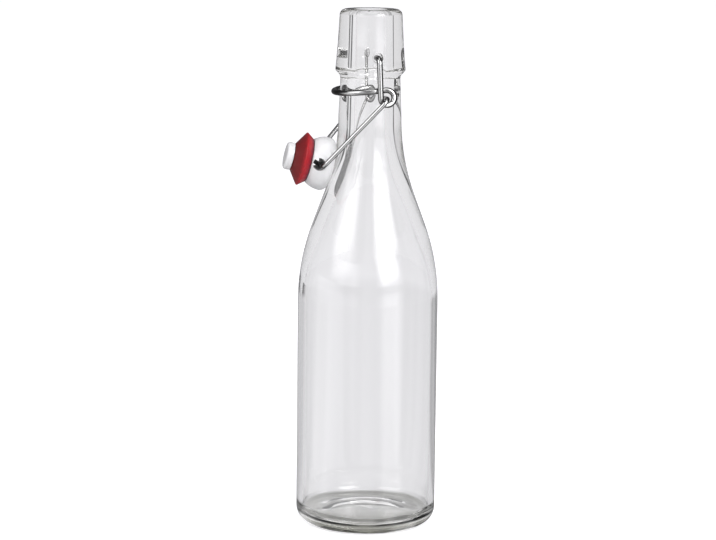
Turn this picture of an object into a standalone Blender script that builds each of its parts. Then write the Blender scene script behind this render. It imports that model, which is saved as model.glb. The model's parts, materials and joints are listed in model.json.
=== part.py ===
"""Half-litre glass bottle with a lever-wire closure, its stopper hanging open beside the neck.

The bottle stands on Z = 0. The lever turns in two dimples of the head, the bail hangs in the lever's two
eyelets, and the stopper with its gasket swings on the bail. All hinge axes run along Y.
"""
import math

import bmesh
import bpy
from mathutils import Matrix, Vector

MM = 0.001

# Outside of the glass, from the foot upwards
BODY_RADIUS = 35.5 * MM
BOTTLE_HEIGHT = 262.0 * MM
HEEL_RADIUS = 8.0 * MM
FOOT_RING_WIDTH = 4.2 * MM
PUSH_UP_HEIGHT = 2.6 * MM
PUSH_UP_SLOPE_WIDTH = 7.0 * MM
SHOULDER_LENGTH = 94.1 * MM
SHOULDER_ARC_RADIUS = 113.0 * MM
NECK_ARC_RADIUS = 115.0 * MM
NECK_LENGTH = 23.4 * MM
NECK_RADIUS = 15.8 * MM
NECK_TAPER = 0.8 * MM
HEAD_LENGTH = 30.0 * MM
HEAD_FILLET = 1.2 * MM
SKIRT_BEVEL = 3.4 * MM
SKIRT_OVERHANG = 2.55 * MM
SKIRT_ROUND = 1.5 * MM
HEAD_TAPER = 1.9 * MM
HEAD_WAIST = 0.2 * MM
LIP_ROUND = 3.0 * MM

# Inside of the glass
WALL = 2.8 * MM
FLOOR_HEIGHT = 6.2 * MM
FLOOR_RISE = 1.6 * MM
INNER_HEEL_RADIUS = 5.3 * MM
BORE_RADIUS = 7.4 * MM
BORE_FLARE = 0.6 * MM
MOUTH_ROUND = 1.8 * MM
BORE_DEPTH = 70.0 * MM
INNER_SHOULDER_ARC_RADIUS = 76.0 * MM
INNER_NECK_ARC_RADIUS = 55.0 * MM

# Dimples that hold the lever
PIVOT_BELOW_LIP = 23.3 * MM
DIMPLE_RADIUS = 2.4 * MM
DIMPLE_DEPTH = 3.2 * MM
DIMPLE_FLARE = 0.5 * MM

# Lever: one wire from dimple to dimple
LEVER_WIRE_RADIUS = 1.45 * MM
LEVER_BEND_RADIUS = 3.0 * MM
EYELET_DROP = 19.35 * MM
EYELET_OFFSET = 4.5 * MM
EYELET_RADIUS = 3.6 * MM
HANDLE_DROOP = math.radians(5.7)
HANDLE_CLEARANCE = 1.5 * MM
SIDE_CLEARANCE = 0.55 * MM

# Bail: one wire through the stopper
BAIL_WIRE_RADIUS = 1.15 * MM
BAIL_BEND_RADIUS = 3.0 * MM
BAIL_LENGTH = 45.8 * MM
BAIL_SIDE_CLEARANCE = 1.2 * MM
PIN_SEAT_OFFSET = 0.6 * MM
PIN_SEAT_ANGLE = math.radians(45.0)
STOPPER_SIDE_CLEARANCE = 0.9 * MM

# Stopper, along its own axis, and its gasket
STOPPER_TILT = math.radians(13.0)
HEAD_RADIUS = 13.5 * MM
HEAD_FRONT_RADIUS = 10.9 * MM
HEAD_FRONT_LENGTH = 7.4 * MM
HEAD_CORNER_RADIUS = 4.0 * MM
HEAD_DOME = 0.7 * MM
STEM_RADIUS = 5.2 * MM
TIP_RADIUS = 6.9 * MM
TIP_LENGTH = 3.4 * MM
TIP_ROUND = 1.4 * MM
CROSS_HOLE_RADIUS = 2.4 * MM
CROSS_HOLE_FLARE = 0.9 * MM
CROSS_HOLE_SETBACK = 3.5 * MM
WIRE_SEAT_ANGLE = math.radians(-32.0)
GASKET_RADIUS = 13.6 * MM
GASKET_FRONT_RADIUS = 6.5 * MM
GASKET_BACK_RADIUS = 10.9 * MM
GASKET_FRONT_DEPTH = 4.9 * MM
GASKET_BACK_DEPTH = 3.6 * MM
GASKET_RIM_ROUND = 0.3 * MM

# Gaps between pieces that touch
SEAT_GAP = 0.3 * MM
COIL_GAP = 0.3 * MM
LEAN_GAP = 0.4 * MM
CUT_OVERRUN = 1.0 * MM

# Facets
GLASS_SEGMENTS = 64
STOPPER_SEGMENTS = 46
HOLE_SEGMENTS = 24
WIRE_BEVEL_RESOLUTION = 4
ARC_STEP = math.radians(13.0)
BEND_STEP = math.radians(15.0)
BISECTION_STEPS = 40
MERGE_DISTANCE = 0.001 * MM
SHARP_ANGLE = math.radians(32.0)

QUARTER_TURN = math.radians(90.0)
HALF_TURN = math.radians(180.0)
FULL_TURN = math.radians(360.0)


def clear_scene():
    """Remove every object of the open file."""
    for item in list(bpy.data.objects):
        bpy.data.objects.remove(item, do_unlink=True)


def material(name, color, roughness, metallic=0.0, transmission=0.0, ior=1.5):
    """A Principled material with the finish of one piece."""
    made = bpy.data.materials.new(name)
    made.use_nodes = True
    shader = made.node_tree.nodes["Principled BSDF"]
    shader.inputs["Base Color"].default_value = (*color, 1.0)
    shader.inputs["Roughness"].default_value = roughness
    shader.inputs["Metallic"].default_value = metallic
    shader.inputs["Transmission Weight"].default_value = transmission
    shader.inputs["IOR"].default_value = ior
    return made


def arc(center, radius, start, end, step=ARC_STEP):
    """Points (r, z) on a circle from one angle to another, both ends included."""
    count = max(2, math.ceil(abs(end - start) / step))
    angles = [start + (end - start) * i / count for i in range(count + 1)]
    return [(center[0] + radius * math.cos(a), center[1] + radius * math.sin(a)) for a in angles]


def ogee(wide_radius, wide_height, wide_arc, narrow_radius, narrow_height, narrow_arc, steps=6):
    """A convex arc, a straight cone and a concave arc, all tangent, from the body up to the neck."""
    low = Vector((wide_radius - wide_arc, wide_height))
    high = Vector((narrow_radius + narrow_arc, narrow_height))
    between = high - low
    reach = min(1.0, (wide_arc + narrow_arc) / between.length)
    lean = math.atan2(between.y, between.x) - math.acos(reach)
    lower = arc(low, wide_arc, 0.0, lean, lean / steps)
    upper = arc(high, narrow_arc, HALF_TURN + lean, HALF_TURN, lean / steps)
    return lower + upper


def radius_at(profile, height):
    """Radius of an outline at a height, read between its points."""
    for (r0, z0), (r1, z1) in zip(profile, profile[1:]):
        if z0 <= height <= z1 and z1 > z0:
            return r0 + (r1 - r0) * (height - z0) / (z1 - z0)
    return profile[-1][0]


def foot_profile():
    """Underside of the glass: the push-up in the middle and the flat ring that it stands on."""
    ring_outer = BODY_RADIUS - HEEL_RADIUS
    ring_inner = ring_outer - FOOT_RING_WIDTH
    push_up_radius = ring_inner - PUSH_UP_SLOPE_WIDTH
    return [(0.0, PUSH_UP_HEIGHT), (push_up_radius, PUSH_UP_HEIGHT), (ring_inner, 0.0)]


def wall_profile():
    """Outer wall from the heel up to the rim of the lip."""
    bevel_base = HEAD_BASE - SKIRT_BEVEL
    neck_top_radius = NECK_RADIUS - NECK_TAPER
    skirt_radius = neck_top_radius + SKIRT_OVERHANG
    lip_radius = skirt_radius - HEAD_TAPER
    heel_center = (BODY_RADIUS - HEEL_RADIUS, HEEL_RADIUS)
    points = arc(heel_center, HEEL_RADIUS, -QUARTER_TURN, 0.0)
    points += ogee(BODY_RADIUS, SHOULDER_BASE, SHOULDER_ARC_RADIUS, NECK_RADIUS, NECK_BASE, NECK_ARC_RADIUS)
    bevel_lean = math.atan2(SKIRT_OVERHANG, SKIRT_BEVEL)
    points += [(neck_top_radius, bevel_base - HEAD_FILLET)]
    points += [(neck_top_radius + HEAD_FILLET / 2 * math.tan(bevel_lean), bevel_base + HEAD_FILLET / 2)]
    skirt_center = (skirt_radius - SKIRT_ROUND, HEAD_BASE)
    points += arc(skirt_center, SKIRT_ROUND, bevel_lean - QUARTER_TURN, 0.0, ARC_STEP * 2)
    waist_radius = (skirt_radius + lip_radius) / 2 - HEAD_WAIST
    points += [(waist_radius, (HEAD_BASE + BOTTLE_HEIGHT - LIP_ROUND) / 2)]
    points += arc((lip_radius - LIP_ROUND, BOTTLE_HEIGHT - LIP_ROUND), LIP_ROUND, 0.0, QUARTER_TURN)
    return points


def cavity_profile():
    """Inner wall from the mouth down to the middle of the floor."""
    inner_radius = BODY_RADIUS - WALL
    bore_end = BOTTLE_HEIGHT - BORE_DEPTH
    mouth_center = (BORE_RADIUS + MOUTH_ROUND, BOTTLE_HEIGHT - MOUTH_ROUND)
    points = arc(mouth_center, MOUTH_ROUND, QUARTER_TURN, HALF_TURN, ARC_STEP * 2)
    flow = ogee(inner_radius, SHOULDER_BASE, INNER_SHOULDER_ARC_RADIUS,
                BORE_RADIUS + BORE_FLARE, bore_end, INNER_NECK_ARC_RADIUS)
    points += reversed(flow)
    heel_center = (inner_radius - INNER_HEEL_RADIUS, FLOOR_HEIGHT + INNER_HEEL_RADIUS)
    points += arc(heel_center, INNER_HEEL_RADIUS, 0.0, -QUARTER_TURN)
    floor_radius = inner_radius - INNER_HEEL_RADIUS
    points += [(floor_radius * share, FLOOR_HEIGHT + FLOOR_RISE * (1.0 - share * share))
               for share in (0.75, 0.5, 0.25, 0.0)]
    return points


def turned_mesh(name, profile, segments, finish):
    """Spin an outline of (radius, height) points round Z into a closed, smooth-shaded mesh."""
    form = bmesh.new()
    ring = [form.verts.new((r, 0.0, z)) for r, z in profile]
    edges = [form.edges.new(pair) for pair in zip(ring, ring[1:])]
    if profile[0][0] > 0.0:
        edges.append(form.edges.new((ring[-1], ring[0])))
    bmesh.ops.spin(form, geom=ring + edges, cent=(0.0, 0.0, 0.0), axis=(0.0, 0.0, 1.0),
                   angle=FULL_TURN, steps=segments, use_merge=True)
    bmesh.ops.remove_doubles(form, verts=form.verts, dist=MERGE_DISTANCE)
    bmesh.ops.recalc_face_normals(form, faces=form.faces)
    mesh = bpy.data.meshes.new(name)
    form.to_mesh(mesh)
    form.free()
    mesh.materials.append(finish)
    mesh.shade_smooth()
    mesh.set_sharp_from_angle(angle=SHARP_ANGLE)
    return mesh


def place(name, data, location=(0.0, 0.0, 0.0), turn=0.0, parent=None):
    """Put an object in the scene, turned about Y, in its parent's frame."""
    made = bpy.data.objects.new(name, data)
    made.location = location
    made.rotation_euler = (0.0, turn, 0.0)
    made.parent = parent
    bpy.context.collection.objects.link(made)
    return made


def cut(target, cutter):
    """Subtract a hidden cutter from a solid."""
    cutter.hide_render = True
    cutter.display_type = "WIRE"
    boolean = target.modifiers.new("cut_" + cutter.name, "BOOLEAN")
    boolean.operation = "DIFFERENCE"
    boolean.solver = "EXACT"
    boolean.object = cutter


def rounded_path(points, radius):
    """A route through corner points, with every inner corner bent to one radius."""
    route = [Vector(points[0])]
    for before, corner, after in zip(points, points[1:], points[2:]):
        corner = Vector(corner)
        towards = (Vector(before) - corner).normalized()
        onwards = (Vector(after) - corner).normalized()
        opening = towards.angle(onwards)
        setback = radius / math.tan(opening / 2)
        middle = corner + (towards + onwards).normalized() * (radius / math.sin(opening / 2))
        start = corner + towards * setback - middle
        turn = HALF_TURN - opening
        count = math.ceil(turn / BEND_STEP)
        hinge = towards.cross(onwards)
        for i in range(count + 1):
            route.append(middle + Matrix.Rotation(-turn * i / count, 3, hinge) @ start)
    route.append(Vector(points[-1]))
    return route


def wire(name, route, radius, finish, location, turn=0.0, parent=None):
    """A round wire that follows a route given round the wire's own origin."""
    data = bpy.data.curves.new(name, "CURVE")
    data.dimensions = "3D"
    data.resolution_u = 1
    data.render_resolution_u = 0
    data.bevel_depth = radius
    data.bevel_resolution = WIRE_BEVEL_RESOLUTION
    data.use_fill_caps = True
    spline = data.splines.new("POLY")
    spline.points.add(len(route) - 1)
    for point, spot in zip(spline.points, route):
        point.co = (*spot, 1.0)
    spline.use_smooth = True
    data.materials.append(finish)
    return place(name, data, location, turn, parent)


# Heights that follow from the lengths, from the top down
HEAD_BASE = BOTTLE_HEIGHT - HEAD_LENGTH
NECK_BASE = HEAD_BASE - NECK_LENGTH
SHOULDER_BASE = NECK_BASE - SHOULDER_LENGTH

# Places that several pieces share, measured from the bottle's own axis
OUTER_WALL = wall_profile()
PIVOT_HEIGHT = BOTTLE_HEIGHT - PIVOT_BELOW_LIP
EYELET_HEIGHT = PIVOT_HEIGHT - EYELET_DROP
NECK_AT_EYELET = radius_at(OUTER_WALL, EYELET_HEIGHT)
HANDLE_SIDE = NECK_AT_EYELET + SIDE_CLEARANCE + LEVER_WIRE_RADIUS
LEG_SIDE = HANDLE_SIDE + 2 * LEVER_WIRE_RADIUS + COIL_GAP
BAIL_TOP_SIDE = LEG_SIDE + LEVER_WIRE_RADIUS + BAIL_SIDE_CLEARANCE + BAIL_WIRE_RADIUS
BAIL_BOTTOM_SIDE = HEAD_RADIUS + STOPPER_SIDE_CLEARANCE + BAIL_WIRE_RADIUS


def stopper_stations():
    """Named distances along the stopper's axis, from the gasket's rim towards the head's back."""
    front = GASKET_BACK_DEPTH + SEAT_GAP
    tip_back = -(GASKET_FRONT_DEPTH + SEAT_GAP)
    widest = front + HEAD_FRONT_LENGTH
    return {"front": front, "tip_back": tip_back, "tip_end": tip_back - TIP_LENGTH, "widest": widest,
            "corner": widest + HEAD_CORNER_RADIUS, "hole": front + CROSS_HOLE_SETBACK}


def wire_seat():
    """Where the bail lies in the cross hole: along the stopper's axis, and up from it."""
    play = CROSS_HOLE_RADIUS - BAIL_WIRE_RADIUS - SEAT_GAP
    along = stopper_stations()["hole"] + play * math.cos(WIRE_SEAT_ANGLE)
    return along, play * math.sin(WIRE_SEAT_ANGLE)


def stopper_profile():
    """Outline (radius, distance along the axis) of the stopper: tip, groove and domed head."""
    at = stopper_stations()
    tip_center = (TIP_RADIUS - TIP_ROUND, at["tip_end"] + TIP_ROUND)
    points = [(0.0, at["tip_end"])]
    points += arc(tip_center, TIP_ROUND, -QUARTER_TURN, 0.0, ARC_STEP * 2)
    points += [(TIP_RADIUS, at["tip_back"]), (STEM_RADIUS, at["tip_back"]), (STEM_RADIUS, at["front"])]
    swell = HEAD_RADIUS - HEAD_FRONT_RADIUS
    flare_radius = (HEAD_FRONT_LENGTH ** 2 + swell ** 2) / (2 * swell)
    flare_start = math.asin(HEAD_FRONT_LENGTH / flare_radius)
    points += arc((HEAD_RADIUS - flare_radius, at["widest"]), flare_radius, -flare_start, 0.0, ARC_STEP / 2)
    back_radius = HEAD_RADIUS - HEAD_CORNER_RADIUS
    points += arc((back_radius, at["widest"]), HEAD_CORNER_RADIUS, 0.0, QUARTER_TURN)[1:]
    for share in (0.5, 0.0):
        points.append((back_radius * share, at["corner"] + HEAD_DOME * (1.0 - share * share)))
    return points


def gasket_profile():
    """Closed outline of the gasket: a bore, a front cone, a slightly rounded rim and a back cone."""
    bore = STEM_RADIUS + SEAT_GAP
    rim_start = math.atan2(GASKET_RADIUS - GASKET_FRONT_RADIUS, GASKET_FRONT_DEPTH) - QUARTER_TURN
    rim_end = QUARTER_TURN - math.atan2(GASKET_RADIUS - GASKET_BACK_RADIUS, GASKET_BACK_DEPTH)
    rim_center = (GASKET_RADIUS - GASKET_RIM_ROUND, 0.0)
    points = [(bore, -GASKET_FRONT_DEPTH), (GASKET_FRONT_RADIUS, -GASKET_FRONT_DEPTH)]
    points += arc(rim_center, GASKET_RIM_ROUND, rim_start, rim_end, QUARTER_TURN)
    points += [(GASKET_BACK_RADIUS, GASKET_BACK_DEPTH), (bore, GASKET_BACK_DEPTH)]
    return points


def askew_angle():
    """How far the stopper stands askew on the bail: as far as the mouths of its hole let it."""
    along, up = wire_seat()
    room = CROSS_HOLE_RADIUS + CROSS_HOLE_FLARE - BAIL_WIRE_RADIUS - SEAT_GAP
    free = math.sqrt(room * room - up * up) - (along - stopper_stations()["hole"])
    return math.atan2(free, HEAD_RADIUS + CUT_OVERRUN)


def lay_down(mesh):
    """Lay a turned mesh down: its axis near X, its seat on the bail at the origin."""
    mesh.transform(Matrix.Rotation(QUARTER_TURN, 4, "Y"))
    along, up = wire_seat()
    mesh.transform(Matrix.Translation((-along, 0.0, -up)))
    mesh.transform(Matrix.Rotation(-askew_angle(), 4, "Z"))


def bail_pin():
    """Place (x, z) of the bail's pins, which lie low in the eyelets."""
    back = PIN_SEAT_OFFSET * math.sin(PIN_SEAT_ANGLE)
    down = PIN_SEAT_OFFSET * math.cos(PIN_SEAT_ANGLE)
    return EYELET_OFFSET - back, EYELET_HEIGHT - down


def stopper_point(hang, radius, along):
    """Place (x, z) of a point below the stopper's axis, by its radius, when the bail hangs at an angle."""
    pin_x, pin_z = bail_pin()
    seat_along, seat_up = wire_seat()
    local_x = along - seat_along
    local_z = -radius - seat_up
    seat_x = pin_x - BAIL_LENGTH * math.sin(hang)
    seat_z = pin_z - BAIL_LENGTH * math.cos(hang)
    x = seat_x + local_x * math.cos(STOPPER_TILT) + local_z * math.sin(STOPPER_TILT)
    z = seat_z - local_x * math.sin(STOPPER_TILT) + local_z * math.cos(STOPPER_TILT)
    return x, z


def stopper_outline(hang):
    """The stopper's outline, as places (x, z), when the bail hangs at an angle."""
    return [stopper_point(hang, side * r, along) for r, along in stopper_profile() for side in (-1, 1)]


def stopper_gap(hang):
    """Smallest gap between the stopper and the neck that it leans on."""
    return min(-x - radius_at(OUTER_WALL, z) for x, z in stopper_outline(hang))


def hang_angle():
    """Angle of the bail from straight down, at which the stopper just leans on the neck."""
    low, high = 0.0, QUARTER_TURN
    for _ in range(BISECTION_STEPS):
        middle = (low + high) / 2
        if stopper_gap(middle) < LEAN_GAP:
            low = middle
        else:
            high = middle
    return high


HANG_ANGLE = hang_angle()
STOPPER_REACH = -min(x for x, z in stopper_outline(HANG_ANGLE))
AXIS_X = (STOPPER_REACH - BODY_RADIUS) / 2


def dimple_cutter(side, finish):
    """A blunt, slightly flared plug that leaves the dimple on one side of the head."""
    head_radius = radius_at(OUTER_WALL, PIVOT_HEIGHT)
    corner = DIMPLE_RADIUS / 3
    outer = DIMPLE_DEPTH + CUT_OVERRUN
    points = [(0.0, 0.0)] + arc((DIMPLE_RADIUS - corner, corner), corner, -QUARTER_TURN, 0.0, ARC_STEP * 2)
    points += [(DIMPLE_RADIUS + DIMPLE_FLARE, outer), (0.0, outer)]
    mesh = turned_mesh("dimple_cutter", points, HOLE_SEGMENTS, finish)
    floor = side * (head_radius - DIMPLE_DEPTH)
    mesh.transform(Matrix.Translation((0.0, floor, 0.0)) @ Matrix.Rotation(-side * QUARTER_TURN, 4, "X"))
    return mesh


def make_bottle(finish):
    """The glass: one turned body with a dimple cut on each side of its head."""
    profile = foot_profile() + OUTER_WALL + cavity_profile()
    mesh = turned_mesh("glass_bottle", profile, GLASS_SEGMENTS, finish)
    bottle = place("glass_bottle", mesh, (AXIS_X, 0.0, 0.0))
    for side, name in ((-1, "front_dimple"), (1, "back_dimple")):
        cutter = place(name, dimple_cutter(side, finish), (0.0, 0.0, PIVOT_HEIGHT), parent=bottle)
        cut(bottle, cutter)
    return bottle


def lever_half(side):
    """One half of the lever's route, from the wire's end in a dimple to the start of the handle's bow."""
    wire_end = radius_at(OUTER_WALL, PIVOT_HEIGHT) - DIMPLE_DEPTH + SEAT_GAP
    across = Vector((EYELET_OFFSET, -EYELET_DROP))
    leg_lean = math.atan2(across.y, across.x) - math.asin(EYELET_RADIUS / across.length)
    leg_length = math.sqrt(across.length ** 2 - EYELET_RADIUS ** 2)
    foot = (leg_length * math.cos(leg_lean), side * LEG_SIDE, leg_length * math.sin(leg_lean))
    corners = [(0.0, side * wire_end, 0.0), (0.0, side * LEG_SIDE, 0.0), foot]
    route = rounded_path(corners, LEVER_BEND_RADIUS)
    start = leg_lean + FULL_TURN - QUARTER_TURN
    end = FULL_TURN + QUARTER_TURN + HANDLE_DROOP
    count = math.ceil((end - start) / BEND_STEP)
    for i in range(1, count + 1):
        angle = start + (end - start) * i / count
        y = side * (LEG_SIDE + (HANDLE_SIDE - LEG_SIDE) * i / count)
        route.append(Vector((EYELET_OFFSET + EYELET_RADIUS * math.cos(angle), y,
                             EYELET_RADIUS * math.sin(angle) - EYELET_DROP)))
    return route


def make_lever(finish, bottle):
    """The closing lever: two half routes joined by the bow round the neck."""
    near = lever_half(-1)
    far = lever_half(1)
    back = Vector((-math.cos(HANDLE_DROOP), 0.0, -math.sin(HANDLE_DROOP)))
    arm_end = near[-1]
    neck = radius_at(OUTER_WALL, PIVOT_HEIGHT + arm_end.z)
    bow_reach = (neck + HANDLE_CLEARANCE + LEVER_WIRE_RADIUS + arm_end.x) / math.cos(HANDLE_DROOP)
    bow_center = Vector((arm_end.x, 0.0, arm_end.z)) + back * (bow_reach - HANDLE_SIDE)
    count = math.ceil(HALF_TURN / ARC_STEP)
    bow = []
    for i in range(count + 1):
        angle = HALF_TURN * i / count
        across = Vector((0.0, -HANDLE_SIDE * math.cos(angle), 0.0))
        bow.append(bow_center + back * (HANDLE_SIDE * math.sin(angle)) + across)
    route = near + bow + list(reversed(far))
    return wire("closing_lever", route, LEVER_WIRE_RADIUS, finish, (0.0, 0.0, PIVOT_HEIGHT), parent=bottle)


def make_bail(finish, lever):
    """The bail: pins in the eyelets, legs that close in on the stopper, and the run through its hole."""
    pin_end = HANDLE_SIDE - LEVER_WIRE_RADIUS
    corners = []
    for side in (-1, 1):
        half = [(0.0, side * pin_end, 0.0), (0.0, side * BAIL_TOP_SIDE, 0.0)]
        half.append((0.0, side * BAIL_BOTTOM_SIDE, -BAIL_LENGTH))
        corners += half if side < 0 else list(reversed(half))
    pin_x, pin_z = bail_pin()
    location = (pin_x, 0.0, pin_z - PIVOT_HEIGHT)
    return wire("bail_wire", rounded_path(corners, BAIL_BEND_RADIUS), BAIL_WIRE_RADIUS, finish, location,
                HANG_ANGLE, lever)


def hole_cutter(finish):
    """A plug for the cross hole, narrow in the middle and wider towards both mouths."""
    half = HEAD_RADIUS + CUT_OVERRUN
    wide = CROSS_HOLE_RADIUS + CROSS_HOLE_FLARE
    points = [(0.0, -half), (wide, -half), (CROSS_HOLE_RADIUS, 0.0), (wide, half), (0.0, half)]
    mesh = turned_mesh("hole_cutter", points, HOLE_SEGMENTS, finish)
    mesh.transform(Matrix.Rotation(QUARTER_TURN, 4, "X"))
    along, up = wire_seat()
    mesh.transform(Matrix.Translation((stopper_stations()["hole"] - along, 0.0, -up)))
    mesh.transform(Matrix.Rotation(-askew_angle(), 4, "Z"))
    return mesh


def make_stopper(finish, bail):
    """The stopper on the bail, with its cross hole."""
    mesh = turned_mesh("stopper", stopper_profile(), STOPPER_SEGMENTS, finish)
    lay_down(mesh)
    stopper = place("stopper", mesh, (0.0, 0.0, -BAIL_LENGTH), STOPPER_TILT - HANG_ANGLE, bail)
    cutter = place("cross_hole", hole_cutter(finish), parent=stopper)
    cut(stopper, cutter)
    return stopper


def make_gasket(finish, stopper):
    """The rubber ring in the stopper's groove."""
    mesh = turned_mesh("gasket", gasket_profile(), STOPPER_SEGMENTS, finish)
    lay_down(mesh)
    return place("gasket", mesh, parent=stopper)


clear_scene()
glass = material("clear_glass", (0.93, 0.96, 0.95), 0.02, transmission=1.0, ior=1.52)
steel = material("galvanised_steel", (0.62, 0.62, 0.63), 0.25, metallic=1.0)
plastic = material("white_plastic", (0.86, 0.87, 0.87), 0.22)
rubber = material("red_rubber", (0.42, 0.02, 0.02), 0.5)
glass_bottle = make_bottle(glass)
closing_lever = make_lever(steel, glass_bottle)
bail_wire = make_bail(steel, closing_lever)
stopper = make_stopper(plastic, bail_wire)
gasket = make_gasket(rubber, stopper)
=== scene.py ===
# %% [markdown]
# A swing-top bottle of clear glass
#
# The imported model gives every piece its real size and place. This script dresses it: it puts the camera
# where the photographer stood, lays a white studio round the bottle, turns a finer glass on the lathe,
# bends finer wires, turns a finer stopper and gasket, and gives each piece the finish of the real one.

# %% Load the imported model
import json
import math

import bmesh
import bpy
from mathutils import Matrix, Vector, noise


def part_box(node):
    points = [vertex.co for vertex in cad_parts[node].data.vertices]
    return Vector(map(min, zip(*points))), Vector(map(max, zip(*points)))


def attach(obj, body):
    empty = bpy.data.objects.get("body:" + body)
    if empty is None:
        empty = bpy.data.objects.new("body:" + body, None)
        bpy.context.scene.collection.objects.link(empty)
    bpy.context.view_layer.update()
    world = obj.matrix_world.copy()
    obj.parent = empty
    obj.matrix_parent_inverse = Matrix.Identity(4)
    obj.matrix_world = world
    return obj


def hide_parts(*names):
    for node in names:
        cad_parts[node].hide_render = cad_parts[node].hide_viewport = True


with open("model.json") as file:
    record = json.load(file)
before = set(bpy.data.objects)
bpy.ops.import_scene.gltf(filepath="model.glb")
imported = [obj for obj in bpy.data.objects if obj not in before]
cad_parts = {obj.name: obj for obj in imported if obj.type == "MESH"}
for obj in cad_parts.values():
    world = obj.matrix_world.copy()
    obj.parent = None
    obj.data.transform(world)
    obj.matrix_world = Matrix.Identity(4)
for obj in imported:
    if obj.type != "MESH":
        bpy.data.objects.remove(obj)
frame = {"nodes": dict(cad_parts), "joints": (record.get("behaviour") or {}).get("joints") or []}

MM = 0.001
DEGREE = math.radians(1.0)
QUARTER_TURN = math.radians(90.0)
HALF_TURN = math.radians(180.0)
FULL_TURN = math.radians(360.0)

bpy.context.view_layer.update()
nodes = frame["nodes"]
glass_low, glass_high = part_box("glass_bottle")
AXIS_X = (glass_low[0] + glass_high[0]) / 2
print("pieces of the packed model:", sorted(nodes))
print("the bottle's axis stands at x =", round(AXIS_X / MM, 2), "mm")


def new_object(name, data):
    """An object made from its data and added to the scene."""
    made = bpy.data.objects.new(name, data)
    bpy.context.scene.collection.objects.link(made)
    return made


# %% [markdown]
# The camera
#
# A photograph of a small product is taken with a long lens from more than a metre away, so the bottle
# hardly tapers towards its foot. The camera stands a little above the mouth and looks slightly down, which
# is why the mouth shows as a flat ellipse. Its place is given from the bottle's axis: how far, how high,
# and how far round. Two directions, across and up the picture, then make the camera's own axes.

# %% Put the camera where the photographer stood
CAMERA_DISTANCE = 1250.0 * MM
CAMERA_HEIGHT = 338.0 * MM
CAMERA_TURN = math.radians(-12.5)
LOOK_DOWN = math.radians(9.449)
LOOK_ASIDE = math.radians(0.234)
PICTURE_TILT = math.radians(0.65)
FOCAL_LENGTH_MM = 125.66
SENSOR_WIDTH_MM = 36.0
NEAREST_SEEN = 50.0 * MM
FARTHEST_SEEN = 60.0


def aim_camera():
    """Place the camera round the bottle's axis and give it the photograph's lens and tilt."""
    towards = Vector((-math.sin(CAMERA_TURN), math.cos(CAMERA_TURN), 0.0))
    spot = Vector((AXIS_X, 0.0, CAMERA_HEIGHT)) - towards * CAMERA_DISTANCE
    ahead = Matrix.Rotation(LOOK_ASIDE, 3, "Z") @ towards
    ahead = ahead * math.cos(LOOK_DOWN) - Vector((0.0, 0.0, math.sin(LOOK_DOWN)))
    across = ahead.cross(Vector((0.0, 0.0, 1.0))).normalized()
    upward = across.cross(ahead)
    tilted_across = across * math.cos(PICTURE_TILT) + upward * math.sin(PICTURE_TILT)
    tilted_upward = upward * math.cos(PICTURE_TILT) - across * math.sin(PICTURE_TILT)
    axes = Matrix((tilted_across, tilted_upward, -ahead)).transposed()
    data = bpy.data.cameras.new("photo_camera")
    data.lens = FOCAL_LENGTH_MM
    data.sensor_width = SENSOR_WIDTH_MM
    data.clip_start = NEAREST_SEEN
    data.clip_end = FARTHEST_SEEN
    camera = new_object("photo_camera", data)
    camera.matrix_world = Matrix.Translation(spot) @ axes.to_4x4()
    bpy.context.scene.camera = camera
    return camera


camera = aim_camera()
bpy.context.scene.view_settings.view_transform = "Standard"
print("the camera stands at", [round(value, 3) for value in camera.matrix_world.translation])

# %% [markdown]
# Small helpers for materials
#
# Every finish below is a Principled shader with a few nodes in front of it. These helpers make the shader,
# add a node, wire it up and reckon with its values, so that each finish can be read as a short list of what
# the surface does. The studio's light is built with the same ones.
# Values that are the same all over are set on the shader's own sockets.

# %% Helpers that add and join nodes
def new_finish(name, **sockets):
    """A Principled material, with its constant values given by socket name."""
    made = bpy.data.materials.new(name)
    made.use_nodes = True
    shader = made.node_tree.nodes["Principled BSDF"]
    for socket, value in sockets.items():
        shader.inputs[socket.replace("_", " ")].default_value = value
    return made, shader


def add_node(owner, kind, **settings):
    """A node of one kind; its settings are attributes or, failing that, input values."""
    node = owner.node_tree.nodes.new(kind)
    for name, value in settings.items():
        if hasattr(node, name):
            setattr(node, name, value)
        else:
            node.inputs[name.replace("_", " ")].default_value = value
    return node


def join(owner, source, target):
    """Lead one socket into another."""
    owner.node_tree.links.new(source, target)


def feed(owner, value, socket):
    """Give a socket a number, or the value of another node's socket."""
    if isinstance(value, float):
        socket.default_value = value
    else:
        join(owner, value, socket)


def reckon(owner, operation, *values):
    """The result of a sum, from numbers or other nodes' sockets."""
    node = add_node(owner, "ShaderNodeMath", operation=operation)
    for value, socket in zip(values, node.inputs):
        feed(owner, value, socket)
    return node.outputs["Value"]


def apart(owner, vector):
    """The three parts of a vector, as sockets named X, Y and Z."""
    node = add_node(owner, "ShaderNodeSeparateXYZ")
    join(owner, vector, node.inputs["Vector"])
    return node.outputs


def part_way(owner, value, start, end):
    """How far a value has come from one place to another, from zero to one."""
    node = add_node(owner, "ShaderNodeMapRange", From_Min=start, From_Max=end)
    join(owner, value, node.inputs["Value"])
    return node.outputs["Result"]


def blend_levels(owner, factor, low, high):
    """A level between two others; each may be a number or another node's socket."""
    choose = add_node(owner, "ShaderNodeMix")
    feed(owner, factor, choose.inputs["Factor"])
    feed(owner, low, choose.inputs["A"])
    feed(owner, high, choose.inputs["B"])
    return choose.outputs["Result"]


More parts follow.
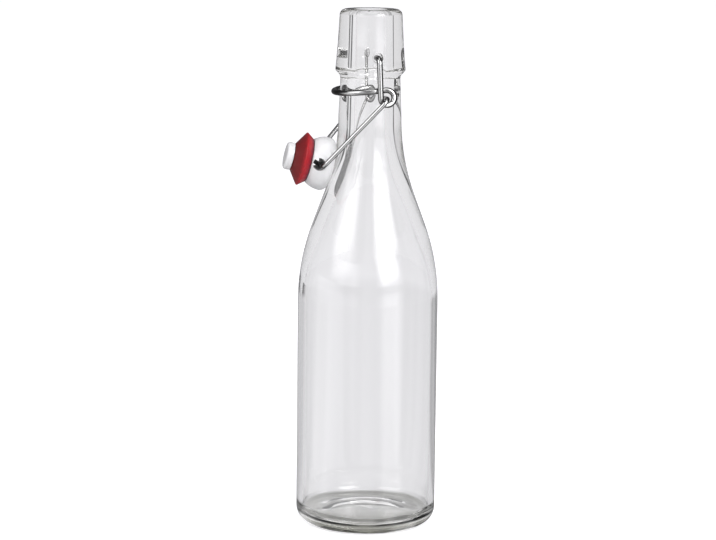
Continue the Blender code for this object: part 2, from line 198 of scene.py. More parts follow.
def grade(owner, value, levels, unit=1.0, origin=0.0):
    """Follow a value through a list of (place, level) pairs; a level is a share of light or a colour."""
    places = [origin + place * unit for place, _ in levels]
    ramp = add_node(owner, "ShaderNodeValToRGB")
    stops = ramp.color_ramp.elements
    for place in places[1:-1]:
        stops.new((place - places[0]) / (places[-1] - places[0]))
    for stop, (_, level) in zip(stops, levels):
        stop.color = (*level, 1.0) if isinstance(level, tuple) else (level, level, level, 1.0)
    join(owner, part_way(owner, value, places[0], places[-1]), ramp.inputs["Fac"])
    return ramp.outputs["Color"]


print("helpers for nodes ready")

# %% [markdown]
# Small helpers for surfaces
#
# No real surface is the same all over. A noise that is fixed to the piece gives it blotches, spread leads
# them onto the range that a finish needs, and bump turns them into a real depth.

# %% Helpers for uneven surfaces
def spots(finish, scale, detail=2.0, stretch=(1.0, 1.0, 1.0)):
    """Noise fixed to the piece, with its grain given per metre along each axis."""
    place = add_node(finish, "ShaderNodeTexCoord")
    squeeze = add_node(finish, "ShaderNodeMapping", Scale=stretch)
    grain = add_node(finish, "ShaderNodeTexNoise", Scale=scale, Detail=detail)
    join(finish, place.outputs["Object"], squeeze.inputs["Vector"])
    join(finish, squeeze.outputs["Vector"], grain.inputs["Vector"])
    return grain.outputs["Fac"]


def spread(finish, value, low, high):
    """Lead a value that runs from zero to one onto a range of its own."""
    node = add_node(finish, "ShaderNodeMapRange", To_Min=low, To_Max=high)
    join(finish, value, node.inputs["Value"])
    return node.outputs["Result"]


def bump(finish, shader, height, depth):
    """Raise the surface by a height map, to a real depth in metres."""
    node = add_node(finish, "ShaderNodeBump", Distance=depth)
    join(finish, height, node.inputs["Height"])
    join(finish, node.outputs["Normal"], shader.inputs["Normal"])


print("helpers for surfaces ready")

# %% [markdown]
# The studio
#
# Glass shows what is round it more than itself, and so does polished steel. So what they see is given by
# direction from the bottle, as lists of degrees and shares of light.
# Light that is mirrored inside the wall of the glass comes from further round the room. There it meets
# darker stripes between the white parts of the floor: those nearby draw the dark lines along the body's
# edges, and those far off draw the ones along the bore and the neck.
# Polished surfaces mirror a darker room, where only the floor under each lamp and the wall behind it are
# bright. Those pools of light give the wires their contrast and the glass its soft streaks.

# %% Say how light each direction is
# Directions are in degrees to the right. Stripes count from where the camera looks, and the near ones
# repeat three times round; pools count from the camera.
NEAR_STRIPES = [(-60, 0.95), (-42, 0.82), (-30, 0.82), (-18, 1.0), (10, 1.0), (15, 0.45), (25, 0.45),
                (33, 0.80), (38, 0.60), (46, 0.60), (52, 0.95), (60, 0.95)]
FAR_STRIPES = [(-180, 1.0), (-52, 1.0), (-46, 0.1), (-38, 0.1), (-33, 1.0), (-24, 1.0), (-18, 0.1),
               (-5, 0.1), (1, 1.0), (180, 1.0)]
LAMP_POOLS = [(-180, 0.0), (-98, 0.0), (-84, 1.0), (-62, 1.0), (-44, 0.1), (20, 0.0), (29, 0.9),
              (49, 1.0), (58, 0.0), (180, 0.0)]
HIGH_POOLS = [(-180, 0.0), (-60, 0.0), (-44, 0.55), (-22, 0.55), (-8, 0.0), (12, 0.0), (27, 1.0),
              (48, 1.0), (62, 0.0), (180, 0.0)]
POOL_GLOW = 1.3
HIGH_POOL_GLOW = 3.2
# The number of times a ray was mirrored is a whole number, so this parts none from one or more.
MIRRORED_AT_ALL = 0.5


def light_round(owner, direction, middle, levels):
    """Share of light in a direction: a list that runs, and repeats, round the bottle from its middle."""
    parts = apart(owner, direction)
    turn = reckon(owner, "ARCTAN2", parts["X"], parts["Y"])
    last = middle + levels[-1][0] * DEGREE
    first = middle + levels[0][0] * DEGREE
    return grade(owner, reckon(owner, "WRAP", turn, last, first), levels, DEGREE, middle)


def lamp_pools(owner, direction, pools, glow):
    """The lamps' pools of light in a direction, counted from the camera's side to the right."""
    from_the_left = [(-degrees, level) for degrees, level in pools[::-1]]
    share = light_round(owner, direction, HALF_TURN - CAMERA_TURN, from_the_left)
    return reckon(owner, "MULTIPLY", share, glow)


def if_mirrored(owner, ray, share):
    """A share of light that counts only for light that was mirrored inside the glass."""
    inside = reckon(owner, "GREATER_THAN", ray.outputs["Glossy Depth"], MIRRORED_AT_ALL)
    return blend_levels(owner, inside, 1.0, share)


print("pools of light, in degrees:", [degrees for degrees, level in LAMP_POOLS if level == 1.0])

# %% [markdown]
# The background
#
# A product photographer hangs white paper behind the bottle. Here the world itself is the paper: it lights
# every surface a little, is plain white for the camera and a touch greyer through the glass. Light Path
# tells these kinds of ray apart, so that white paper costs the object no contrast.

# %% Hang the white background
ROOM_LIGHT = 0.52
ROOM_MIRRORED = 0.14
COOL_WHITE = (0.975, 0.970, 1.0, 1.0)
WHITE_THROUGH_GLASS = 0.92
# Heights of a direction, from 0 for level to 1 for straight up: where the high pools begin and end.
HIGH_POOL_START = (0.040, 0.055)
HIGH_POOL_END = 0.25


def white_studio_world():
    """World light: plain for surfaces, white to the camera, darker where a polished surface mirrors it."""
    world = bpy.data.worlds.new("white_studio")
    world.use_nodes = True
    bpy.context.scene.world = world
    ray = add_node(world, "ShaderNodeLightPath")
    direction = add_node(world, "ShaderNodeTexCoord").outputs["Generated"]
    height = apart(world, direction)["Z"]
    low = lamp_pools(world, direction, LAMP_POOLS, POOL_GLOW)
    high = lamp_pools(world, direction, HIGH_POOLS, HIGH_POOL_GLOW)
    pools = blend_levels(world, part_way(world, height, *HIGH_POOL_START), low, high)
    low_down = reckon(world, "LESS_THAN", height, HIGH_POOL_END)
    mirrored = reckon(world, "ADD", reckon(world, "MULTIPLY", low_down, pools), ROOM_MIRRORED)
    level = blend_levels(world, ray.outputs["Is Glossy Ray"], ROOM_LIGHT, mirrored)
    level = blend_levels(world, ray.outputs["Is Transmission Ray"], level, WHITE_THROUGH_GLASS)
    level = blend_levels(world, ray.outputs["Is Camera Ray"], level, 1.0)
    background = world.node_tree.nodes["Background"]
    background.inputs["Color"].default_value = COOL_WHITE
    join(world, level, background.inputs["Strength"])


white_studio_world()
print("the room lights surfaces at", ROOM_LIGHT, "and is mirrored at", ROOM_MIRRORED, "of white")

# %% [markdown]
# The floor
#
# The bottle stands on a wide matt floor that glows just enough to meet the white background, so that only
# its shade is left. Through the glass the same floor is greyer, with a shade under the bottle that shows
# where it stands. Mirrored in the glass and the wires it is dark, polished acrylic with the lamps' pools
# of light on it.

# %% Lay the white floor
FLOOR_SIZE = 12.0
FLOOR_DROP = 0.05 * MM
FLOOR_COLOUR = 0.80
FLOOR_COLOUR_THROUGH_GLASS = 0.10
FLOOR_GLOW = 0.62
FLOOR_GLOW_THROUGH_GLASS = 0.75
ACRYLIC_COLOUR = (0.30, 0.30, 0.30, 1.0)
ACRYLIC_ROUGHNESS = 0.10
WHITE = (1.0, 1.0, 1.0, 1.0)
FAR_START = 0.85
FAR_END = 1.25
FAR_BRIGHTNESS = 1.12
# Shade under the bottle: millimetres from its axis, and the share of light that is left there.
FLOOR_SHADE = [(0, 0.85), (24, 0.85), (31, 0.65), (40, 0.6), (46, 0.97), (50, 1.0)]


def matt_floor(paint, ray, place, farness, distance):
    """The floor for the camera and through glass: white, and shaded round the foot of the bottle."""
    through = ray.outputs["Is Transmission Ray"]
    near = light_round(paint, place, -CAMERA_TURN, NEAR_STRIPES)
    far = light_round(paint, place, -CAMERA_TURN, FAR_STRIPES)
    striped = if_mirrored(paint, ray, blend_levels(paint, farness, near, far))
    colour_through = reckon(paint, "MULTIPLY", striped, FLOOR_COLOUR_THROUGH_GLASS)
    matt = add_node(paint, "ShaderNodeBsdfDiffuse")
    join(paint, blend_levels(paint, through, FLOOR_COLOUR, colour_through), matt.inputs["Color"])
    shade = grade(paint, distance, FLOOR_SHADE, MM)
    brightness = reckon(paint, "MULTIPLY", blend_levels(paint, farness, 1.0, FAR_BRIGHTNESS), shade)
    glow_through = reckon(paint, "MULTIPLY", striped, FLOOR_GLOW_THROUGH_GLASS)
    level = blend_levels(paint, through, 0.0, reckon(paint, "MULTIPLY", glow_through, brightness))
    level = blend_levels(paint, ray.outputs["Is Camera Ray"], level, FLOOR_GLOW)
    glow = add_node(paint, "ShaderNodeEmission", Color=COOL_WHITE)
    join(paint, level, glow.inputs["Strength"])
    seen = add_node(paint, "ShaderNodeAddShader")
    join(paint, matt.outputs["BSDF"], seen.inputs[0])
    join(paint, glow.outputs["Emission"], seen.inputs[1])
    return seen.outputs["Shader"]


def floor_paint():
    """Matt white paint where it is seen, and polished acrylic where it is mirrored."""
    paint, acrylic = new_finish("white_acrylic", Base_Color=ACRYLIC_COLOUR, Roughness=ACRYLIC_ROUGHNESS,
                                Emission_Color=WHITE)
    ray = add_node(paint, "ShaderNodeLightPath")
    place = add_node(paint, "ShaderNodeTexCoord").outputs["Object"]
    away = add_node(paint, "ShaderNodeVectorMath", operation="LENGTH")
    join(paint, place, away.inputs[0])
    distance = away.outputs["Value"]
    farness = part_way(paint, distance, FAR_START, FAR_END)
    join(paint, lamp_pools(paint, place, LAMP_POOLS, POOL_GLOW), acrylic.inputs["Emission Strength"])
    glossy, through = ray.outputs["Is Glossy Ray"], ray.outputs["Is Transmission Ray"]
    either = add_node(paint, "ShaderNodeMixShader")
    join(paint, reckon(paint, "SUBTRACT", glossy, through), either.inputs["Fac"])
    join(paint, matt_floor(paint, ray, place, farness, distance), either.inputs[1])
    join(paint, acrylic.outputs["BSDF"], either.inputs[2])
    join(paint, either.outputs["Shader"], paint.node_tree.nodes["Material Output"].inputs["Surface"])
    return paint


bpy.ops.mesh.primitive_plane_add(size=FLOOR_SIZE, location=(AXIS_X, 0.0, -FLOOR_DROP))
floor = bpy.context.object
floor.name = "studio_floor"
floor.data.materials.append(floor_paint())
print("floor of", FLOOR_SIZE, "m")

# %% [markdown]
# Bounces of light
#
# In thick glass light is mirrored from wall to wall many times before it comes out again. A renderer gives
# up after about a dozen times, and what it gives up on is black, which would darken the edges of the neck
# and the base. So twice that number is allowed.

# %% Let light bounce inside the glass
LIGHT_BOUNCES = 24

paths = bpy.context.scene.cycles
paths.max_bounces = LIGHT_BOUNCES
paths.glossy_bounces = LIGHT_BOUNCES
paths.transmission_bounces = LIGHT_BOUNCES
print("light may bounce", LIGHT_BOUNCES, "times")

# %% [markdown]
# The lamps
#
# Three soft lamps light the bottle: one in front on the right, a wider and weaker one on the left, and a
# large one overhead that fills the shade. Area lamps are used because a lamp of real size gives soft shade
# and a glint of the right width on the stopper, the wires and the head. Each falls off towards its edges,
# as cloth over a lamp does, so that its mirror image has no hard border.

# %% Set up the soft lamps
LAMPS = {
    "right_softbox": {"turn": 38, "rise": 31, "roll": 13, "away": 1.4, "size": (1.15, 1.15), "power": 30},
    "left_softbox": {"turn": -54, "rise": 34, "roll": 13, "away": 1.5, "size": (1.45, 1.25), "power": 18},
    "overhead": {"turn": 10, "rise": 80, "roll": 0, "away": 1.5, "size": (1.0, 1.0), "power": 8},
}
# A lamp's own coordinates run from 0 at one edge to 1 at the other.
LAMP_MIDDLE = 0.5
LAMP_SOFT_EDGE = 0.30


def soften_lamp(data):
    """Let a lamp's light fall off towards its edges."""
    data.use_nodes = True
    place = apart(data, add_node(data, "ShaderNodeNewGeometry").outputs["Parametric"])
    shares = []
    for axis in ("X", "Y"):
        share = add_node(data, "ShaderNodeMapRange", interpolation_type="SMOOTHSTEP")
        share.inputs["From Max"].default_value = LAMP_SOFT_EDGE
        join(data, reckon(data, "PINGPONG", place[axis], LAMP_MIDDLE), share.inputs["Value"])
        shares.append(share.outputs["Result"])
    strength = data.node_tree.nodes["Emission"].inputs["Strength"]
    join(data, reckon(data, "MULTIPLY", *shares), strength)


def soft_lamp(name, turn, rise, roll, away, size, power):
    """An area lamp that looks at the bottle; turn is in degrees from the camera's side, to the right."""
    data = bpy.data.lights.new(name, "AREA")
    data.shape = "RECTANGLE"
    data.size, data.size_y = size
    data.energy = power
    soften_lamp(data)
    side = turn * DEGREE + CAMERA_TURN
    lift = rise * DEGREE
    aim = Vector((AXIS_X, 0.0, CAMERA_HEIGHT / 2))
    out = Vector((math.sin(side) * math.cos(lift), -math.cos(side) * math.cos(lift), math.sin(lift)))
    facing = (-out).to_track_quat("-Z", "Y").to_matrix() @ Matrix.Rotation(roll * DEGREE, 3, "Z")
    lamp = new_object(name, data)
    lamp.matrix_world = Matrix.Translation(aim + out * away) @ facing.to_4x4()
    return lamp


for name, facts in LAMPS.items():
    soft_lamp(name, **facts)
print("lamps:", ", ".join(LAMPS))

# %% [markdown]
# The outside of the glass
#
# A bottle is blown in a two-part mould, so its outside is a clean turned form: a heel, a straight body, a
# long shoulder that flows into the neck, and a conical head with a skirt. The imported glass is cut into 64
# flat sides, which is plenty for its shape but shows as bands once light bends through it. So the same
# outline is drawn again in finer steps, to be spun on a lathe of its own.
# A shoulder is two arcs with a straight cone between them. They are worked out so that they touch without a
# kink, whatever their radii are.

# %% Draw the outside of the glass
BODY_RADIUS = (glass_high[0] - glass_low[0]) / 2
BOTTLE_HEIGHT = glass_high[2]
HEEL_RADIUS = 8.0 * MM
FOOT_RING_WIDTH = 4.2 * MM
PUSH_UP_HEIGHT = 2.6 * MM
PUSH_UP_SLOPE_WIDTH = 7.0 * MM
SHOULDER_LENGTH = 94.1 * MM
SHOULDER_ARC_RADIUS = 113.0 * MM
NECK_ARC_RADIUS = 115.0 * MM
NECK_LENGTH = 23.4 * MM
NECK_RADIUS = 15.8 * MM
NECK_TAPER = 0.8 * MM
HEAD_LENGTH = 30.0 * MM
HEAD_FILLET = 1.2 * MM
SKIRT_BEVEL = 3.4 * MM
SKIRT_OVERHANG = 2.55 * MM
SKIRT_ROUND = 1.5 * MM
HEAD_TAPER = 1.9 * MM
HEAD_WAIST = 0.2 * MM
LIP_ROUND = 3.0 * MM
HEAD_BASE = BOTTLE_HEIGHT - HEAD_LENGTH
NECK_BASE = HEAD_BASE - NECK_LENGTH
SHOULDER_BASE = NECK_BASE - SHOULDER_LENGTH
ROUND_STEP = 6.0 * DEGREE
FLOW_STEPS = 24


def arc(center, radius, start, end, step=ROUND_STEP):
    """Points (r, z) on a circle from one angle to another, both ends included."""
    count = max(2, math.ceil(abs(end - start) / step))
    angles = [start + (end - start) * i / count for i in range(count + 1)]
    return [(center[0] + radius * math.cos(a), center[1] + radius * math.sin(a)) for a in angles]


def ogee(wide_radius, wide_height, wide_arc, narrow_radius, narrow_height, narrow_arc):
    """A convex arc, a straight cone and a concave arc, all tangent, from the body up to the neck."""
    low = Vector((wide_radius - wide_arc, wide_height))
    high = Vector((narrow_radius + narrow_arc, narrow_height))
    between = high - low
    reach = min(1.0, (wide_arc + narrow_arc) / between.length)
    lean = math.atan2(between.y, between.x) - math.acos(reach)
    lower = arc(low, wide_arc, 0.0, lean, lean / FLOW_STEPS)
    upper = arc(high, narrow_arc, HALF_TURN + lean, HALF_TURN, lean / FLOW_STEPS)
    return lower + upper


def outer_outline():
    """Outside of the glass, from the middle of the underside to the rim of the lip."""
    ring_outer = BODY_RADIUS - HEEL_RADIUS
    ring_inner = ring_outer - FOOT_RING_WIDTH
    points = [(0.0, PUSH_UP_HEIGHT), (ring_inner - PUSH_UP_SLOPE_WIDTH, PUSH_UP_HEIGHT), (ring_inner, 0.0)]
    points += arc((ring_outer, HEEL_RADIUS), HEEL_RADIUS, -QUARTER_TURN, 0.0)
    points += ogee(BODY_RADIUS, SHOULDER_BASE, SHOULDER_ARC_RADIUS, NECK_RADIUS, NECK_BASE, NECK_ARC_RADIUS)
    neck_top = NECK_RADIUS - NECK_TAPER
    skirt = neck_top + SKIRT_OVERHANG
    lip = skirt - HEAD_TAPER
    bevel_base = HEAD_BASE - SKIRT_BEVEL
    bevel_lean = math.atan2(SKIRT_OVERHANG, SKIRT_BEVEL)
    points += [(neck_top, bevel_base - HEAD_FILLET)]
    points += [(neck_top + HEAD_FILLET / 2 * math.tan(bevel_lean), bevel_base + HEAD_FILLET / 2)]
    points += arc((skirt - SKIRT_ROUND, HEAD_BASE), SKIRT_ROUND, bevel_lean - QUARTER_TURN, 0.0)
    points += [((skirt + lip) / 2 - HEAD_WAIST, (HEAD_BASE + BOTTLE_HEIGHT - LIP_ROUND) / 2)]
    points += arc((lip - LIP_ROUND, BOTTLE_HEIGHT - LIP_ROUND), LIP_ROUND, 0.0, QUARTER_TURN)
    return points


OUTSIDE = outer_outline()
print("outside of", len(OUTSIDE), "points, shoulder from", round(SHOULDER_BASE / MM, 1), "mm up")

# %% [markdown]
# The inside of the glass
#
# Air blows the inside, so it follows the outside with a wall that is thin in the body and thick in the neck
# and the base. The narrow bore stays straight down to the neck, where it opens into the shoulder. It opens
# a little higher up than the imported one, which brings the dark line along the bore to its place.

# %% Draw the inside of the glass
WALL = 2.8 * MM
FLOOR_HEIGHT = 6.2 * MM
FLOOR_RISE = 1.6 * MM
FLOOR_STEPS = 10
INNER_HEEL_RADIUS = 5.3 * MM
INNER_SHOULDER_ARC_RADIUS = 76.0 * MM
INNER_NECK_ARC_RADIUS = 80.0 * MM
BORE_RADIUS = 7.4 * MM
BORE_FLARE = 0.6 * MM
BORE_DEPTH = 57.0 * MM
MOUTH_ROUND = 1.8 * MM


def inner_outline():
    """Inside of the glass, from the mouth down to the middle of the floor."""
    inner_radius = BODY_RADIUS - WALL
    mouth_center = (BORE_RADIUS + MOUTH_ROUND, BOTTLE_HEIGHT - MOUTH_ROUND)
    points = arc(mouth_center, MOUTH_ROUND, QUARTER_TURN, HALF_TURN)
    flow = ogee(inner_radius, SHOULDER_BASE, INNER_SHOULDER_ARC_RADIUS,
                BORE_RADIUS + BORE_FLARE, BOTTLE_HEIGHT - BORE_DEPTH, INNER_NECK_ARC_RADIUS)
    points += reversed(flow)
    floor_radius = inner_radius - INNER_HEEL_RADIUS
    points += arc((floor_radius, FLOOR_HEIGHT + INNER_HEEL_RADIUS), INNER_HEEL_RADIUS, 0.0, -QUARTER_TURN)
    for i in range(FLOOR_STEPS - 1, -1, -1):
        share = i / FLOOR_STEPS
        points.append((floor_radius * share, FLOOR_HEIGHT + FLOOR_RISE * (1.0 - share * share)))
    return points


INSIDE = inner_outline()
print("inside of", len(INSIDE), "points, floor", round(FLOOR_HEIGHT / MM, 1), "mm thick")

# %% [markdown]
# Turning it
#
# The two outlines are one closed line, and spinning it round the axis in 192 steps gives the whole glass.
# Faces that meet in the middle are merged, so that the glass is one closed body for light to pass through.

# %% Turn the glass
GLASS_STEPS = 192
MERGE_DISTANCE = 0.001 * MM


def turned(name, points, steps):
    """Spin an outline of (radius, height) points round Z into a closed, smooth-shaded mesh."""
    form = bmesh.new()
    ring = [form.verts.new((r, 0.0, z)) for r, z in points]
    edges = [form.edges.new(pair) for pair in zip(ring, ring[1:])]
    bmesh.ops.spin(form, geom=ring + edges, cent=(0.0, 0.0, 0.0), axis=(0.0, 0.0, 1.0),
                   angle=FULL_TURN, steps=steps, use_merge=True)
    bmesh.ops.remove_doubles(form, verts=form.verts, dist=MERGE_DISTANCE)
    bmesh.ops.recalc_face_normals(form, faces=form.faces)
    mesh = bpy.data.meshes.new(name)
    form.to_mesh(mesh)
    form.free()
    mesh.shade_smooth()
    return new_object(name, mesh)


blown_glass = turned("blown_glass", OUTSIDE + INSIDE, GLASS_STEPS)
blown_glass.location = (AXIS_X, 0.0, 0.0)
print("glass:", len(blown_glass.data.polygons), "faces")

# %% [markdown]
# The uneven floor
#
# The mould shapes only the outside. The inside is shaped by air, and stays slightly uneven where the glass
# is thickest, round the floor. A smooth noise shifts the points of the inside there by up to a third of a
# millimetre, and less further up the wall, so the light in the base breaks up as it does in real glass. The
# noise is given a start of its own, or else the clock would choose one and no two runs would be alike.

# %% Leave the floor uneven
UNEVEN_DEPTH = 0.28 * MM
UNEVEN_SPOTS_PER_METRE = 110.0
UNEVEN_ABOVE = FLOOR_HEIGHT - 0.1 * MM
UNEVEN_FULL = FLOOR_HEIGHT + 2.5 * MM
UNEVEN_WALL = FLOOR_HEIGHT + 5.0 * MM
UNEVEN_WALL_SHARE = 0.25
UNEVEN_START = 6


def leave_floor_uneven(mesh):
    """Shift the inside of the base and of the lowest wall a little, and count the points."""
    noise.seed_set(UNEVEN_START)
    inner_wall = BODY_RADIUS - WALL / 2
    shifted = 0
    for vertex in mesh.vertices:
        spot = vertex.co
        inside = math.hypot(spot.x, spot.y) < inner_wall and UNEVEN_ABOVE < spot.z < SHOULDER_BASE
        if inside:
            climb = (spot.z - UNEVEN_FULL) / (UNEVEN_WALL - UNEVEN_FULL)
            share = 1.0 - (1.0 - UNEVEN_WALL_SHARE) * min(1.0, max(0.0, climb))
            vertex.co += noise.noise_vector(spot * UNEVEN_SPOTS_PER_METRE) * UNEVEN_DEPTH * share
            shifted += 1
    return shifted


print("points shifted inside:", leave_floor_uneven(blown_glass.data))

# %% [markdown]
# The dimples
#
# The head has a dimple on each side, which holds an end of the lever. The mould leaves them with two blunt,
# slightly flared pins, so two plugs of that form are turned and subtracted.

# %% Sink the dimples
PLUG_STEPS = 32
PIVOT_BELOW_LIP = 23.3 * MM
PIVOT_HEIGHT = BOTTLE_HEIGHT - PIVOT_BELOW_LIP
DIMPLE_RADIUS = 2.4 * MM
DIMPLE_CORNER = DIMPLE_RADIUS / 3
DIMPLE_DEPTH = 3.2 * MM
DIMPLE_FLARE = 0.5 * MM
PLUG_OVERRUN = 1.0 * MM
CREASE_ANGLE = 40.0 * DEGREE
# The first two points lie in the hollow of the underside; from the third on, the outline only climbs.
OUTER_WALL = OUTSIDE[2:]


def radius_at(points, height):
    """Radius of an outline at a height, read between its points."""
    for (r0, z0), (r1, z1) in zip(points, points[1:]):
        if z0 <= height <= z1 and z1 > z0:
            return r0 + (r1 - r0) * (height - z0) / (z1 - z0)
    return points[-1][0]


def drill(piece, plugs):
    """Subtract plugs from a piece, keep the result as plain mesh, and shade it smooth between edges."""
    for plug in plugs:
        cut = piece.modifiers.new("hole", "BOOLEAN")
        cut.operation = "DIFFERENCE"
        cut.solver = "EXACT"
        cut.object = plug
    bpy.context.view_layer.update()
    seen = piece.evaluated_get(bpy.context.evaluated_depsgraph_get())
    finished = bpy.data.meshes.new_from_object(seen)
    piece.modifiers.clear()
    piece.data = finished
    for plug in plugs:
        bpy.data.objects.remove(plug, do_unlink=True)
    finished.shade_smooth()
    finished.set_sharp_from_angle(angle=CREASE_ANGLE)


def dimple_plug(side):
    """A blunt, slightly flared plug, set into the head on one side."""
    head_radius = radius_at(OUTER_WALL, PIVOT_HEIGHT)
    reach = DIMPLE_DEPTH + PLUG_OVERRUN
    points = [(0.0, 0.0)]
    points += arc((DIMPLE_RADIUS - DIMPLE_CORNER, DIMPLE_CORNER), DIMPLE_CORNER, -QUARTER_TURN, 0.0)
    points += [(DIMPLE_RADIUS + DIMPLE_FLARE, reach), (0.0, reach)]
    plug = turned("dimple_plug", points, PLUG_STEPS)
    plug.location = (AXIS_X, side * (head_radius - DIMPLE_DEPTH), PIVOT_HEIGHT)
    plug.rotation_euler = (-side * QUARTER_TURN, 0.0, 0.0)
    return plug


drill(blown_glass, [dimple_plug(-1), dimple_plug(1)])
print("the dimples lie", round(PIVOT_HEIGHT / MM, 1), "mm up the head")

# %% [markdown]
# The finish of the glass
#
# Clear bottle glass bends light with an index of about 1.52 and swallows a little of it on the way. A
# volume does that by the real path through the wall. Below a few millimetres the surface is painted a
# darker grey-green: painted shade that stands in for the dark heel, where light runs lengthwise through
# the thick base. It is polished, with the faint slow ripple that moulded glass has. The finished glass
# takes the imported node's place and rides on its body.

# %% Finish the glass
GLASS_INDEX = 1.52
GLASS_TINT = (0.670, 0.668, 0.635, 1.0)
GLASS_DENSITY = 14.0
# Painted shade on the heel: colour of the surface by its height in millimetres.
PAINTED_HEEL_SHADE = (0.37, 0.372, 0.33)
PAINTED_HEEL_SHADE_COLOURS = [(0.0, PAINTED_HEEL_SHADE), (4.4, PAINTED_HEEL_SHADE), (6.2, (1.0, 1.0, 1.0))]
RIPPLE_PER_METRE = 60.0
RIPPLE_DEPTH = 0.02 * MM
RIPPLE_STRETCH = (1.0, 1.0, 0.35)


def bottle_glass():
    """Clear glass with a faint ripple outside and painted grey-green shade on the heel."""
    finish, shader = new_finish("clear_bottle_glass", Roughness=0.0, IOR=GLASS_INDEX,
                                Transmission_Weight=1.0)
    height = apart(finish, add_node(finish, "ShaderNodeTexCoord").outputs["Object"])["Z"]
    # Painted shade: the surface is coloured darker grey-green towards the bottom, by height.
    join(finish, grade(finish, height, PAINTED_HEEL_SHADE_COLOURS, MM), shader.inputs["Base Color"])
    bump(finish, shader, spots(finish, RIPPLE_PER_METRE, stretch=RIPPLE_STRETCH), RIPPLE_DEPTH)
    body = add_node(finish, "ShaderNodeVolumeAbsorption", Density=GLASS_DENSITY, Color=GLASS_TINT)
    out = finish.node_tree.nodes["Material Output"]
    join(finish, body.outputs["Volume"], out.inputs["Volume"])
    return finish


blown_glass.data.materials.clear()
blown_glass.data.materials.append(bottle_glass())
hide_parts("glass_bottle")
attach(blown_glass, "bottle")
print("the finer glass stands for the packed one")

# %% [markdown]
# Bending a wire
#
# A wire is bent over a round former, so its corners are arcs of one radius. A route is given by its corner
# points, and each inner one is replaced by such an arc, in small steps, because polished wire shows facets.

# %% Bend a route at its corners
WIRE_BEND_STEP = 5.0 * DEGREE


def rounded_path(points, radius):
    """A route through corner points, with every inner corner bent to one radius."""
    route = [Vector(points[0])]
    for before, corner, after in zip(points, points[1:], points[2:]):
        corner = Vector(corner)
        towards = (Vector(before) - corner).normalized()
        onwards = (Vector(after) - corner).normalized()
        opening = towards.angle(onwards)
        middle = corner + (towards + onwards).normalized() * (radius / math.sin(opening / 2))
        start = corner + towards * (radius / math.tan(opening / 2)) - middle
        turn = HALF_TURN - opening
        count = math.ceil(turn / WIRE_BEND_STEP)
        hinge = towards.cross(onwards)
        route += [middle + Matrix.Rotation(-turn * i / count, 3, hinge) @ start for i in range(count + 1)]
    route.append(Vector(points[-1]))
    return route


print("a right angle is bent in", math.ceil(QUARTER_TURN / WIRE_BEND_STEP), "steps")

# %% [markdown]
# The lever
#
# The lever is one wire: from the dimple on one side it runs down, winds once round for the bail's pin, goes
# round the neck as the handle, and returns on the other side in the same way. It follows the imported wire's
# route, and its widths come from the neck itself, so that it clears the glass.

# %% Route the lever
LEVER_WIRE_RADIUS = 1.45 * MM
LEVER_BEND_RADIUS = 3.0 * MM
EYELET_DROP = 19.35 * MM
EYELET_OFFSET = 4.5 * MM
EYELET_RADIUS = 3.6 * MM
HANDLE_DROOP = 5.7 * DEGREE
HANDLE_CLEARANCE = 1.5 * MM
SIDE_CLEARANCE = 0.55 * MM
COIL_GAP = 0.3 * MM
SEAT_GAP = 0.3 * MM
NECK_AT_EYELET = radius_at(OUTER_WALL, PIVOT_HEIGHT - EYELET_DROP)
HANDLE_SIDE = NECK_AT_EYELET + SIDE_CLEARANCE + LEVER_WIRE_RADIUS
LEG_SIDE = HANDLE_SIDE + 2 * LEVER_WIRE_RADIUS + COIL_GAP


def lever_half(side):
    """One half of the lever's route, from the wire's end in a dimple to the start of the handle's bow."""
    wire_end = radius_at(OUTER_WALL, PIVOT_HEIGHT) - DIMPLE_DEPTH + SEAT_GAP
    across = Vector((EYELET_OFFSET, -EYELET_DROP))
    leg_lean = math.atan2(across.y, across.x) - math.asin(EYELET_RADIUS / across.length)
    leg_length = math.sqrt(across.length ** 2 - EYELET_RADIUS ** 2)
    foot = (leg_length * math.cos(leg_lean), side * LEG_SIDE, leg_length * math.sin(leg_lean))
    corners = [(0.0, side * wire_end, 0.0), (0.0, side * LEG_SIDE, 0.0), foot]
    route = rounded_path(corners, LEVER_BEND_RADIUS)
    start = leg_lean + FULL_TURN - QUARTER_TURN
    end = FULL_TURN + QUARTER_TURN + HANDLE_DROOP
    count = math.ceil((end - start) / WIRE_BEND_STEP)
    for i in range(1, count + 1):
        angle = start + (end - start) * i / count
        y = side * (LEG_SIDE + (HANDLE_SIDE - LEG_SIDE) * i / count)
        route.append(Vector((EYELET_OFFSET + EYELET_RADIUS * math.cos(angle), y,
                             EYELET_RADIUS * math.sin(angle) - EYELET_DROP)))
    return route


def lever_route():
    """The whole lever, measured from its pivots: two halves joined by the bow round the neck."""
    near, far = lever_half(-1), lever_half(1)
    back = Vector((-math.cos(HANDLE_DROOP), 0.0, -math.sin(HANDLE_DROOP)))
    arm_end = near[-1]
    neck = radius_at(OUTER_WALL, PIVOT_HEIGHT + arm_end.z)
    bow_reach = (neck + HANDLE_CLEARANCE + LEVER_WIRE_RADIUS + arm_end.x) / math.cos(HANDLE_DROOP)
    middle = Vector((arm_end.x, 0.0, arm_end.z)) + back * (bow_reach - HANDLE_SIDE)
    count = math.ceil(HALF_TURN / WIRE_BEND_STEP)
    bow = []
    for i in range(count + 1):
        angle = HALF_TURN * i / count
        across = Vector((0.0, -HANDLE_SIDE * math.cos(angle), 0.0))
        bow.append(middle + back * (HANDLE_SIDE * math.sin(angle)) + across)
    return near + bow + far[::-1]


print("the lever is", round(2 * LEG_SIDE / MM, 1), "mm wide between the middles of its legs")

# %% [markdown]
# The bail
#
# The bail is one thinner wire: its ends turn inward through the lever's eyelets, its sides run down beside
# the stopper, and its foot goes through the stopper's hole. It is routed as if it hung straight down.

